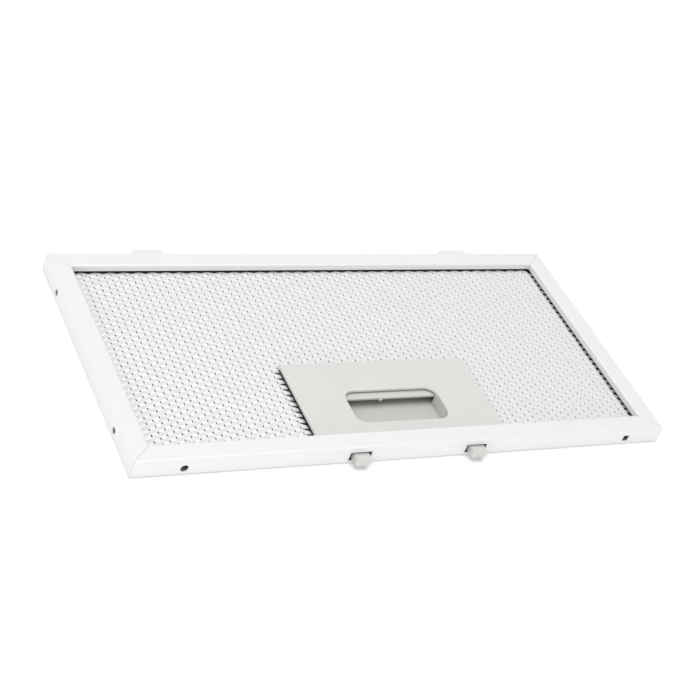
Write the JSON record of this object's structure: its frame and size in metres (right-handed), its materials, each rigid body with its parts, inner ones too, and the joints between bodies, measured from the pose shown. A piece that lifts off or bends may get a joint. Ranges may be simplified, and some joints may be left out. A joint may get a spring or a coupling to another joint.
{
  "type": "cooker hood grease filter cassette",
  "caption": "Flat washable metal mesh grease filter with a mitred channel frame, fixed rear tabs, and a sprung finger latch that draws two tongues in through the front wall.",
  "frame": {"origin": "centre of the cassette's footprint, on the plane of its bottom face (the face that goes up into the hood)", "axes": "+Z out of the face with the finger pocket, which the cook sees; +X along the long side; +Y from the latch side to the side with the fixed tabs"},
  "size_m": [0.27, 0.1429, 0.0092],
  "materials": {
    "frame_metal": "pale satin sheet, square bent edges",
    "tab_metal": "plain satin strip",
    "mesh_metal": "bright expanded metal with fine rolled strands",
    "latch_plastic": "light warm grey moulding, fine even grain",
    "tray_plastic": "light warm grey moulding, fine even grain",
    "slider_plastic": "light warm grey moulding, slightly smoother on its running faces",
    "spring_steel": "drawn wire",
    "key_plastic": "plain moulding"
  },
  "bodies": {
    "cassette": {"bottom_guard_mesh": "mesh_metal", "corner_key_front_left": "key_plastic", "corner_key_front_right": "key_plastic", "corner_key_rear_left": "key_plastic", "corner_key_rear_right": "key_plastic", "filter_mesh_1": "mesh_metal", "filter_mesh_2": "mesh_metal", "filter_mesh_3": "mesh_metal", "filter_mesh_4": "mesh_metal", "front_rail": "frame_metal", "latch_cover": "latch_plastic", "latch_tray": "tray_plastic", "left_rail": "frame_metal", "rear_rail": "frame_metal", "rear_tab_left": "tab_metal", "rear_tab_right": "tab_metal", "return_spring_left": "spring_steel", "return_spring_right": "spring_steel", "right_rail": "frame_metal", "top_guard_mesh": "mesh_metal"},
    "latch": {"latch_slider": "slider_plastic"}
  },
  "joints": [
    {"name": "latch_slide", "type": "slide", "parent": "cassette", "child": "latch", "axis": [0, 1, 0], "range_m": [0, 0.005], "stiffness_N_per_m": 700, "springref_m": -0.004, "deforming": ["return_spring_left", "return_spring_right"]}
  ]
}
